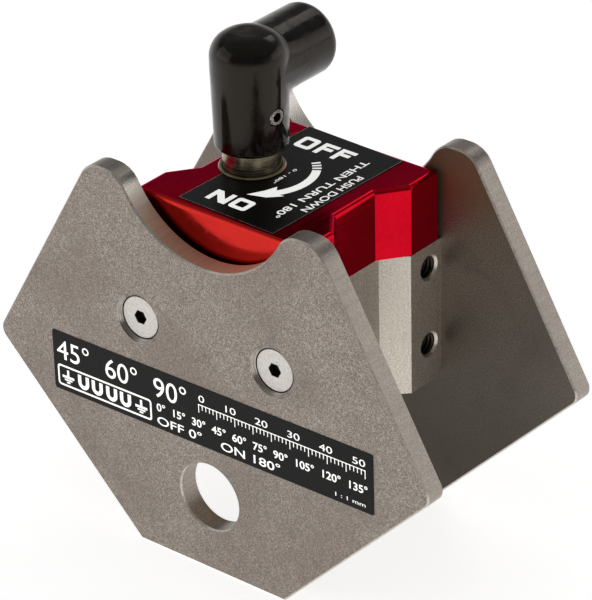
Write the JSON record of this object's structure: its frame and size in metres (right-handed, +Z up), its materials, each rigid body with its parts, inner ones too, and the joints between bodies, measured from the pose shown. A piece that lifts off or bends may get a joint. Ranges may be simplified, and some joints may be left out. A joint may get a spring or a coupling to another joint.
{
  "type": "ground clamp",
  "caption": "Switchable magnetic weld square that clamps a welding ground: V-footed steel pole plates on a magnet block with a red cap and a turning handle.",
  "frame": {"origin": "midway between the two side plates, on the level of their flat feet, at the middle of their width", "axes": "+Z up; X along the plates' width; +Y from the labelled front plate to the rear plate"},
  "size_m": [0.1184, 0.0568, 0.1153],
  "materials": {
    "blasted_steel": "tumbled, matt, fine speckle",
    "screw_steel": "bright, cleaned heads",
    "ground_steel": "nickel plated, upright grinding lines",
    "red_anodised": "polished, red anodised",
    "black_screws": "black oxide",
    "oxide_screw": "black oxide, worn bright on its edges",
    "plug_brass": "turned",
    "seal_rubber": "matt",
    "bearing_plastic": "natural acetal",
    "magnet_nickel": "nickel plated",
    "carrier_steel": "machined",
    "hard_pin": "ground, hardened",
    "turned_steel": "turned, polished",
    "spring_steel": "drawn wire",
    "black_gloss_sleeve": "glossy, dipped",
    "label_black": "printed foil"
  },
  "bodies": {
    "clamp": {"front_side_plate": "blasted_steel", "rear_side_plate": "blasted_steel", "front_plate_screws": "screw_steel", "rear_plate_screws": "screw_steel", "magnet_body": "ground_steel", "cap": "red_anodised", "cap_screws": "black_screws", "bore_plugs": "plug_brass", "plug_seals": "seal_rubber", "thrust_washer": "bearing_plastic", "fixed_magnet": "magnet_nickel", "fixed_magnet_spacer": "bearing_plastic", "stop_pin": "hard_pin", "lock_ring": "turned_steel", "spindle_bush": "turned_steel", "spindle_seal": "seal_rubber", "front_label": "label_black", "top_label": "label_black"},
    "rotor": {"rotor_magnet": "magnet_nickel", "rotor_carrier": "carrier_steel"},
    "handle": {"spindle": "turned_steel", "lock_pin": "hard_pin", "handle_core": "carrier_steel", "handle_grip": "black_gloss_sleeve", "handle_set_screw": "oxide_screw", "return_spring": "spring_steel"}
  },
  "joints": [
    {"name": "rotor_turn", "type": "hinge", "parent": "clamp", "child": "rotor", "pos_m": [-0.0095, 0, 0.0492], "axis": [0, 0, -1], "range_deg": [0, 180]},
    {"name": "handle_push", "type": "slide", "parent": "rotor", "child": "handle", "axis": [0, 0, -1], "range_m": [-0.0015, 0.0025], "stiffness_N_per_m": 2000, "deforming": ["return_spring"]}
  ]
}
